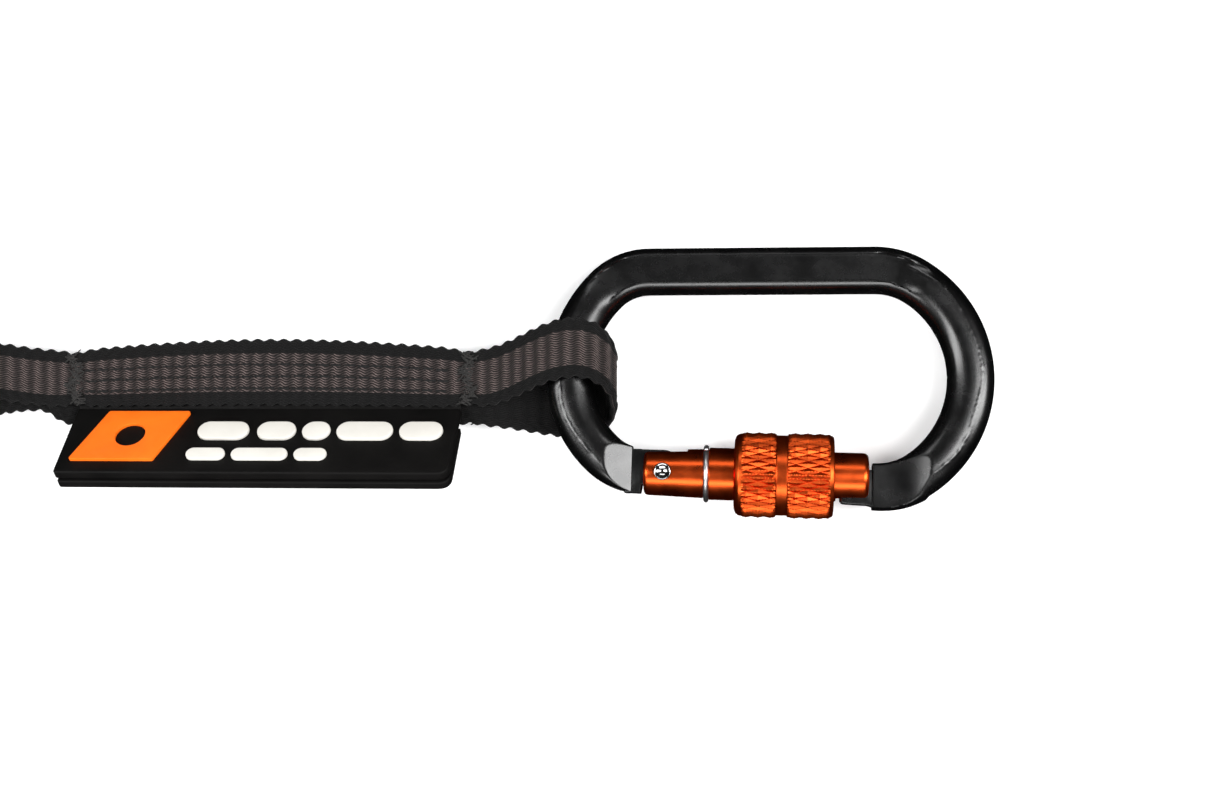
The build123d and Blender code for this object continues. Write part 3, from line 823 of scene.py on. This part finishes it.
# ======== gate
def gate_barrel(name):
    """The turned barrel with its ring groove, hinge slot, nose pocket and rivet hole."""
    groove_r = RING_MEAN_R - RING_WIRE_R
    profile = [
        (GATE_END_U, 0),
        (GATE_END_U, GATE_END_R),
        (RING_U - RING_GROOVE_HALF, GATE_RING_R),
        (RING_U - RING_GROOVE_HALF, groove_r),
        (RING_U + RING_GROOVE_HALF, groove_r),
        (RING_U + RING_GROOVE_HALF, GATE_MID_R),
        (GATE_NOSE_U - 0.4, GATE_MID_R),
        (GATE_NOSE_U, GATE_NOSE_R),
        (GATE_TIP_U, GATE_NOSE_R),
        (GATE_TIP_U, 0),
    ]
    radii = {1: GATE_ROUNDING, 2: 0.15, 5: 0.25, 6: 0.2, 7: 0.2, 8: GATE_ROUNDING + 0.2}
    barrel = lathe(name, rounded(profile, radii, 5), 144)
    # (low u, high u, low v, high v, half height) of the slot and the pocket, running out past the barrel
    cuts = [
        (GATE_END_U - 2, HINGE_SLOT_U, HINGE_SLOT_V, HINGE_SLOT_V + 20, HINGE_SLOT_HALF),
        (NOSE_POCKET_U, GATE_TIP_U + 2, NOSE_POCKET_TOP_V - 20, NOSE_POCKET_TOP_V, NOSE_POCKET_HALF),
    ]
    for i, (low_u, high_u, low_v, high_v, half) in enumerate(cuts):
        corners = [(low_u, low_v), (high_u, low_v), (high_u, high_v), (low_u, high_v)]
        cut_away(barrel, flat_piece(f"{name}_cutter_{i}", [rounded(corners, 0.6)], 2 * half, 0.02, 0))
    rivet_hole = [circle(0, 0, RIVET_R + 0.08, 48)]
    cut_away(barrel, flat_piece(f"{name}_rivet_cutter", rivet_hole, 4 * GATE_END_R, 0.01, 0))
    smooth(barrel, 28)
    return barrel


def hinge_rivet(name):
    """A pin with flush, lightly dished heads; the lathe runs along x and is turned to z."""
    half = RIVET_HALF + 0.1
    dish_r = RIVET_R - 0.22
    profile = []
    for k in range(9):
        radius = dish_r * k / 8
        profile.append((-half + RIVET_DISH * (1 - (radius / dish_r) ** 2), radius))
    profile += [(-half, RIVET_R - 0.12), (-half + 0.12, RIVET_R)]
    profile += [(-x, r) for x, r in reversed(profile)]
    pin = lathe(name, profile, 64, 50)
    pin.data.transform(Matrix.Rotation(-pi / 2, 4, "Y"))
    return pin


def stop_ring(name):
    """Split wire ring, sitting a little crooked in its groove."""
    points = []
    for i in range(121):
        angle = radians(40 + RING_ARC * i / 120)
        lean = 0.09 * sin(angle - 0.6)
        points.append(Vector((RING_U + lean, RING_MEAN_R * cos(angle), RING_MEAN_R * sin(angle))))
    vertices, faces = tube(points, RING_WIRE_R - 0.02, 14)
    return make_object(name, vertices, faces, 60)


# ======== sleeve
def knurl_drop(u, turns):
    """Depth of the two crossing families of V grooves, 0 on a diamond's crest and 1 in a groove."""
    lines = [turns * KNURL_COUNT + sign * u / KNURL_LENGTH for sign in (1, -1)]
    return 1 - 2 * min(abs(line - round(line)) for line in lines)


def knurled_band(low, high):
    """The knurled surface between two places on the sleeve, its edges lying in the grooves."""
    cell = KNURL_LENGTH / KNURL_CELLS
    rows = [low]
    for i in range(2 * int(low / cell) - 2, 2 * int(high / cell) + 4):
        if low + 0.12 < i * cell / 2 < high - 0.12:
            rows.append(i * cell / 2)
    rows.append(high)
    # even rows hold the cells' corners, odd rows their middles
    odd = [0, *(round(2 * u / cell) % 2 for u in rows[1:-1]), 0]
    around = KNURL_COUNT * KNURL_CELLS
    vertices = []
    for u, shift in zip(rows, odd):
        fade = between(u, low - 0.05, KNURL_FADE + 0.05, high - KNURL_FADE, KNURL_FADE + 0.05)
        for k in range(around):
            turns = (k + shift / 2) / around
            radius = SLEEVE_R - 0.22 * (1 - fade) - KNURL_DEPTH * knurl_drop(u, turns) * (0.3 + 0.7 * fade)
            vertices.append((u, radius * cos(2 * pi * turns), radius * sin(2 * pi * turns)))
    faces = []
    for i in range(len(rows) - 1):
        for k in range(around):
            j = (k + 1) % around
            a, b = i * around + k, i * around + j
            c, d = a + around, b + around
            if odd[i] == odd[i + 1]:
                faces.append((a, b, d, c))
            elif odd[i + 1]:
                faces += [(a, b, c), (b, d, c)]
            else:
                faces += [(a, d, c), (a, b, d)]
    return vertices, faces


def locking_sleeve(name):
    """Collar, two knurled bands with a plain groove between, end rim, bore and mouth."""
    plain = rounded(
        [
            (BAND_1[0], SLEEVE_R - 0.35),
            (1.0, SLEEVE_R - 0.45),
            (0.35, SLEEVE_COLLAR_R + 1.0),
            (0.0, SLEEVE_COLLAR_R),
            (0.0, SLEEVE_BORE_R),
            (SLEEVE_MOUTH_START, SLEEVE_BORE_R),
            (SLEEVE_MOUTH_START, SLEEVE_MOUTH_R),
            (SLEEVE_LENGTH, SLEEVE_MOUTH_R),
            (SLEEVE_LENGTH, SLEEVE_R - 0.75),
            (BAND_2[1], SLEEVE_R - 0.3),
            (BAND_2[1] - 0.1, UNDER_R),
            (BAND_1[0] + 0.1, UNDER_R),
        ],
        {1: 0.6, 2: 0.5, 3: 0.3, 4: 0.3, 7: 0.3, 8: 0.45},
        5,
    )
    groove = rounded(
        [
            (BAND_1[1], SLEEVE_R - 0.35),
            (BAND_1[1] + 0.15, SLEEVE_GROOVE_R),
            (BAND_2[0] - 0.15, SLEEVE_GROOVE_R),
            (BAND_2[0], SLEEVE_R - 0.35),
            (BAND_2[0] + 0.1, UNDER_R),
            (BAND_1[1] - 0.1, UNDER_R),
        ],
        {1: 0.25, 2: 0.25},
        5,
    )
    shell = lathe(name, plain, 192, 35)
    middle = lathe(name + "_groove", groove, 192, 35)
    bands = [make_object(f"{name}_band", *knurled_band(*band), 14) for band in (BAND_1, BAND_2)]
    join_meshes(shell, [middle, *bands])
    shell.data.transform(Matrix.Translation((SLEEVE_U, 0, 0)))
    return shell


# ======== webbing
def run(start, finish, steps=24):
    """Centre points from start to finish, without the last: level at both, eased in y and z."""
    route = []
    for i in range(steps):
        t = i / steps
        eased = (1 - cos(pi * t)) / 2
        route.append(start + (finish - start) * Vector((t, eased, eased)))
    return route


def wrap(x, direction, top, low, steps=40):
    """Centre points round a bar, from above it (top: y, z) to below it (low: y, z)."""
    route = []
    for i in range(steps + 1):
        angle = pi * (0.5 - i / steps)
        y = (top[0] + low[0]) / 2 + (top[0] - low[0]) / 2 * sin(angle)
        z = (top[1] + low[1]) / 2 + (top[1] - low[1]) / 2 * sin(angle)
        route.append(Vector((x + direction * LOOP_REACH * cos(angle), y, z)))
    return route


def webbing_route():
    """The ribbon's centre line from one side of its butt joint round both loops to the other."""
    upper_z = SEWN_Z + (LAYER_GAP + WEB_THICK) / 2
    lower_z = SEWN_Z - (LAYER_GAP + WEB_THICK) / 2
    lower_y = SEWN_Y + LOWER_SHIFT
    upper_right = Vector((TACK_RIGHT_X + TACK_LENGTH / 2, SEWN_Y, upper_z))
    upper_left = Vector((TACK_LEFT_X - TACK_LENGTH / 2, SEWN_Y, upper_z))
    lower_right = Vector((upper_right.x, lower_y, lower_z))
    lower_left = Vector((upper_left.x, lower_y, lower_z))
    right_loop = wrap(RIGHT_X - LOOP_X, 1, RIGHT_WRAP_TOP, RIGHT_WRAP_LOW)
    left_loop = wrap(LEFT_X + LOOP_X, -1, LEFT_WRAP_TOP, LEFT_WRAP_LOW)
    left_recover = Vector((upper_left.x, SEWN_Y, lower_z)) + Vector(LEFT_RECOVER)
    points = [
        Vector((BUTT_X - BUTT_GAP / 2, lower_y, lower_z)),
        *run(lower_left, left_recover),
        *run(left_recover, left_loop[-1]),
        *reversed(left_loop),
        *run(left_loop[0], upper_left)[1:],
        upper_left,
        *run(upper_right, right_loop[0]),
        *right_loop,
        *run(right_loop[-1], lower_right)[1:],
        lower_right,
        Vector((BUTT_X + BUTT_GAP / 2, lower_y, lower_z)),
    ]
    return [p + Vector((0, CENTRE_Y, 0)) for p in points]


def resample(points, step):
    """The same line with a point every step, each with its distance in the XZ plane from the start."""
    flat = [0.0]
    for before, after in zip(points, points[1:]):
        flat.append(flat[-1] + sqrt((after.x - before.x) ** 2 + (after.z - before.z) ** 2))
    count = int(flat[-1] / step)
    fresh = []
    index = 0
    for i in range(count + 1):
        target = flat[-1] * i / count
        while index < len(flat) - 2 and flat[index + 1] < target:
            index += 1
        share = (target - flat[index]) / max(flat[index + 1] - flat[index], 1e-9)
        fresh.append((points[index].lerp(points[index + 1], share), target))
    return fresh


def weave_height(s, w):
    """How far the tape's surface stands out from its mean: ribs across, warp bundles along."""
    rib_angle = 2 * pi * s / RIB_PITCH
    if abs(w) > STRIPE_HALF:
        lump = cos(rib_angle + (pi if abs(w) > 5.2 else 0))
        round_off = 1 - smoothstep(5.4, 6.7, abs(w))
        return 0.19 * lump + 0.06 * cos(2 * pi * w / 0.9) * round_off
    return 0.15 * cos(rib_angle) + 0.035 * cos(2 * pi * (w + WARP_LEAN * sin(rib_angle)) / WARP_PITCH)


def tape_arch(x, z):
    """The upper layer's sideways bulge: 0 at the bar tacks and outside them, 1 midway between them."""
    if z < SEWN_Z or not TACK_LEFT_X < x < TACK_RIGHT_X:
        return 0.0
    return sin(pi * (x - TACK_LEFT_X) / (TACK_RIGHT_X - TACK_LEFT_X))


def sling_webbing(name):
    """The woven ribbon, swept along its route, with its place on the tape as UV."""
    route = resample(webbing_route(), WEB_STEP)
    vertices = []
    texture = []
    for i, (point, s) in enumerate(route):
        step = route[min(i + 1, len(route) - 1)][0] - route[max(i - 1, 0)][0]
        up = Vector((-step.z, 0, step.x)).normalized()
        scallop = SCALLOP * cos(2 * pi * s / RIB_PITCH) - 0.1
        arch = tape_arch(point.x, point.z)
        waist = sum(exp(-(((point.x - x) / WAIST_REACH) ** 2)) for x in (TACK_LEFT_X, TACK_RIGHT_X))
        half = WEB_WIDTH / 2 * (1 + ARCH_WIDEN * arch - TACK_WAIST * waist)
        middle = point + Vector((0, ARCH_SHIFT * arch, 0))
        for face in (1, -1):
            for k in range(WEB_CELLS + 1):
                share = (2 * k / WEB_CELLS - 1) * face
                edge = smoothstep(0.86, 1.0, abs(share))
                thickness = (WEB_THICK / 2 - 0.12) * sqrt(1 - (edge * 0.92) ** 2)
                reach = share * half + scallop * edge * copysign(1, share)
                woven = share * WEB_WIDTH / 2
                # the inner face is half a rib along, and has no stripe
                inner = (1 - face) / 2
                lift = thickness + weave_height(s + inner * RIB_PITCH / 2, woven) * (1 - 0.6 * edge)
                vertices.append(middle + up * lift * face + Vector((0, reach, 0)))
                texture.append((s, woven + inner * 40 * WARP_PITCH))
    ring = 2 * (WEB_CELLS + 1)
    last = (len(route) - 1) * ring
    faces = ring_faces(len(route), ring)
    for k in range(WEB_CELLS):
        mirror = ring - 1 - k
        faces.append((k, mirror, mirror - 1, k + 1))
        faces.append((last + k + 1, last + mirror - 1, last + mirror, last + k))
    obj = make_object(name, vertices, faces)
    layer = obj.data.uv_layers.new(name="weave")
    for loop in obj.data.loops:
        layer.data[loop.index].uv = texture[loop.vertex_index]
    return obj


# ======== stitching
def bar_tack(name, x, seed):
    """Dense zigzag thread over a sewn end, on the top face and the under face."""
    random = Random(seed)
    parts = []
    half = WEB_WIDTH / 2 - 0.9
    for face_z, shift, sign in ((UPPER_FACE_Z, 0, 1), (LOWER_FACE_Z, LOWER_SHIFT, -1)):
        middle = CENTRE_Y + SEWN_Y + shift
        for k in range(TACK_STITCHES):
            y = middle + half * (2 * (k + 0.5) / TACK_STITCHES - 1) + random.uniform(-0.15, 0.15)
            reach = TACK_LENGTH / 2 * random.uniform(0.25, 0.85)
            x_middle = x + 0.7 * sin(0.9 * y + seed) + random.uniform(-0.9, 0.9)
            lean = reach * ((0.5 if k % 2 else -0.5) + random.uniform(-0.5, 0.5))
            height = random.uniform(0.1, 0.38)
            points = []
            for i in range(7):
                t = i / 3 - 1
                z = face_z + sign * (height * sqrt(1.02 - t * t) - 0.05)
                points.append(Vector((x_middle + reach * t, y + lean * t, z)))
            parts.append(tube(points, random.uniform(0.13, 0.2), 6))
    return merge(name, parts)


def lengthwise_stitches(name):
    """Three rows of stitches on both faces, each stitch dipping into the tape at its ends."""
    random = Random(11)
    first = TACK_LEFT_X + TACK_LENGTH / 2 + 0.5
    last = TACK_RIGHT_X - TACK_LENGTH / 2 - 0.5
    parts = []
    for row in STITCH_ROWS:
        for face_z, sign in ((UPPER_FACE_Z, 1), (LOWER_FACE_Z, -1)):
            start = first + random.uniform(0, 0.5)
            while start + STITCH_LENGTH < last:
                length = STITCH_LENGTH + random.uniform(-0.3, 0.2)
                side = random.uniform(-0.12, 0.12)
                points = []
                for i in range(9):
                    x = start + length * i / 8
                    height = 0.17 * sin(pi * i / 8) ** 0.5 - 0.06
                    arch = tape_arch(x, face_z)
                    y = CENTRE_Y + SEWN_Y + row * (1 + ARCH_WIDEN * arch) + ARCH_SHIFT * arch + side
                    points.append(Vector((x, y, face_z + sign * height)))
                parts.append(tube(points, STITCH_R))
                start += STITCH_PITCH + random.uniform(-0.15, 0.15)
    return merge(name, parts)


# ======== label
def label_matrix():
    """The label's face: x along it, y up its slope towards the webbing, z out of the face."""
    tilt = radians(LABEL_TILT)
    origin = Vector((LABEL_LEFT_X, LABEL_TOP_Y, LABEL_TOP_Z)) * MM
    up_slope = Vector((0, cos(tilt), -sin(tilt)))
    outward = Vector((0, sin(tilt), cos(tilt)))
    return matrix_from(origin, Vector((1, 0, 0)), up_slope, outward)


def label_panel(name):
    """Two rubber skins on a narrower core, which leaves the dark groove round the edge."""
    slabs = []
    for i, (top, depth, thickness, inset) in enumerate(LABEL_LAYERS):
        left, right, bottom = inset, LABEL_LENGTH - inset, inset - LABEL_HEIGHT
        corners = [(left, -top), (left, bottom), (right, bottom), (right, -top)]
        outline = rounded(corners, {1: 0.9, 2: LABEL_CORNER_R})
        slab = flat_piece(f"{name}_{i}", [outline], thickness, 0.42, 4)
        slab.data.transform(Matrix.Translation((0, 0, -depth - thickness / 2)))
        slabs.append(slab)
    return join_meshes(slabs[0], slabs[1:])


def label_flange(name):
    """The label's flat edge, sewn in between the tape's two layers."""
    low, high = LABEL_TOP_Y - 3.6, LABEL_TOP_Y + FLANGE_DEPTH
    corners = [(0, low), (LABEL_LENGTH, low), (LABEL_LENGTH, high), (0, high)]
    flange = flat_piece(name, [rounded(corners, 0.5)], LAYER_GAP - 0.04, 0.1, 1)
    flange.data.transform(Matrix.Translation((LABEL_LEFT_X, 0, SEWN_Z)))
    return flange


def raised(name, loops, bevel, steps):
    """A raised mark on the label's face, sunk a little into it."""
    mark = flat_piece(name, loops, EMBLEM_PROUD + EMBLEM_SUNK, bevel, steps)
    mark.data.transform(Matrix.Translation((0, 0, (EMBLEM_PROUD - EMBLEM_SUNK) / 2)))
    return mark


def label_emblem(name):
    """A plain slanting mark with a hole."""
    outline = rounded([(along, -down) for along, down in EMBLEM_OUTLINE], 0.6)
    along, down, radius = EMBLEM_HOLE
    return raised(name, [outline, circle(along, -down, radius)], 0.16, 3)


def label_bars(name):
    """Plain bars with round ends, in two rows."""
    bars = []
    for down, height, row in BAR_ROWS:
        radius = height / 2
        for start, length in row:
            loop = arc(start + radius, -down, radius, pi / 2, 3 * pi / 2, 24)
            loop += arc(start + length - radius, -down, radius, -pi / 2, pi / 2, 24)
            bars.append(raised(f"{name}_{len(bars)}", [loop], 0.3, 4))
    return join_meshes(bars[0], bars[1:])


# ======== build
# (maker, name, body, CAD node, slot, material) of one side's pieces
SIDE_PIECES = [
    (forged_bar, "forged_bar", "carabiner", "carabiner_body", "black_anodised", BLACK),
    (hinge_tongue, "hinge_tongue", "carabiner", "carabiner_body", "black_anodised", BLACK),
    (nose_tongue, "nose_tongue", "carabiner", "carabiner_body", "black_anodised", BLACK),
    (gate_barrel, "turned_gate", "gate", "gate_barrel", "orange_anodised", GATE_ORANGE),
    (hinge_rivet, "dished_rivet", "gate", "hinge_rivet", "steel", STEEL),
    (stop_ring, "wire_ring", "gate", "stop_ring", "spring_steel", WIRE),
    (locking_sleeve, "knurled_sleeve", "sleeve", "locking_sleeve", "orange_anodised", SLEEVE_ORANGE),
]
# CAD nodes inside the gate that stay, each with a better material
KEPT_NODES = [("spring_plunger", STEEL), ("gate_spring", WIRE), ("sleeve_friction_ring", ELASTOMER)]

for side in ("right", "left"):
    carabiner_matrix, gate_matrix = carabiner_matrices(side)
    for maker, name, body, node, slot, material in SIDE_PIECES:
        matrix = carabiner_matrix if maker is forged_bar else gate_matrix
        piece = maker(f"{side}_{name}")
        finish_piece(piece, matrix, f"{side}_{body}", f"{side}_{node}", material)
    for node, material in KEPT_NODES:
        kept = frame["nodes"][f"{side}_{node}"]
        kept.data.materials.clear()
        kept.data.materials.append(material)

row_matrix = Matrix.Scale(MM, 4)
face_matrix = label_matrix()
# (piece, matrix, CAD node, slot, material) of the sling's pieces
SLING_PIECES = [
    (sling_webbing("woven_tape"), row_matrix, "sling_webbing", "webbing", TAPE),
    (bar_tack("right_tack_threads", TACK_RIGHT_X, 3), row_matrix, "right_bar_tack", "thread", TACK_THREAD),
    (bar_tack("left_tack_threads", TACK_LEFT_X, 5), row_matrix, "left_bar_tack", "thread", TACK_THREAD),
    (lengthwise_stitches("tape_stitches"), row_matrix, "lengthwise_stitching", "thread", THREAD),
    (label_panel("label_rubber_panel"), face_matrix, "label_panel", "label_rubber", RUBBER),
    (label_flange("label_sewn_flange"), row_matrix, "label_panel", "label_rubber", RUBBER),
    (label_emblem("label_orange_mark"), face_matrix, "label_emblem", "label_orange", ORANGE_RUBBER),
    (label_bars("label_white_bars"), face_matrix, "label_bars", "label_white", WHITE_RUBBER),
]
for piece, matrix, node, slot, material in SLING_PIECES:
    finish_piece(piece, matrix, "sling", node, material)


# ======== floor, lights and camera
def floor():
    edge = FLOOR_HALF_M
    corners = [(-edge, -edge, 0), (edge, -edge, 0), (edge, edge, 0), (-edge, edge, 0)]
    obj = make_object("floor", corners, [(0, 1, 2, 3)])
    obj.location.z = cad_box[0][2] - 0.0002
    surface = Surface("pale_floor")
    surface.set("Base Color", (0.92, 0.92, 0.92, 1))
    surface.set("Roughness", 0.9)
    surface.set("Specular IOR Level", 0.1)
    surface.set("Emission Color", (1, 1, 1, 1))
    surface.set("Emission Strength", 0.2)
    obj.data.materials.append(surface.material)
    obj.visible_glossy = False  # the metal's edges stay dark


def softbox(name, location, size, power):
    light = bpy.data.lights.new(name, "AREA")
    light.shape = "RECTANGLE"
    light.size, light.size_y = size
    light.energy = power
    obj = bpy.data.objects.new(name, light)
    obj.location = location
    obj.rotation_euler = (Vector(SOFTBOX_TARGET) - Vector(location)).to_track_quat("-Z", "Y").to_euler()
    bpy.context.scene.collection.objects.link(obj)


floor()
for box in SOFTBOXES:
    softbox(*box)

world = bpy.data.worlds.new("studio")
world.use_nodes = True
background = world.node_tree.nodes["Background"]
background.inputs["Color"].default_value = (1, 1, 1, 1)
background.inputs["Strength"].default_value = 0.01
bpy.context.scene.world = world
bpy.context.scene.view_settings.view_transform = "Standard"

camera_data = bpy.data.cameras.new("camera")
camera_data.lens = 50
camera_data.sensor_width = 36
camera = bpy.data.objects.new("camera", camera_data)
camera.location = Vector(CAMERA_PLACE) * MM
view = (Vector(CAMERA_TARGET) * MM - camera.location).normalized()
side_dir = view.cross(Vector((0, 1, 0))).normalized()
up_dir = side_dir.cross(view)
camera.rotation_euler = Matrix((side_dir, up_dir, -view)).transposed().to_euler()
bpy.context.scene.collection.objects.link(camera)
bpy.context.scene.camera = camera
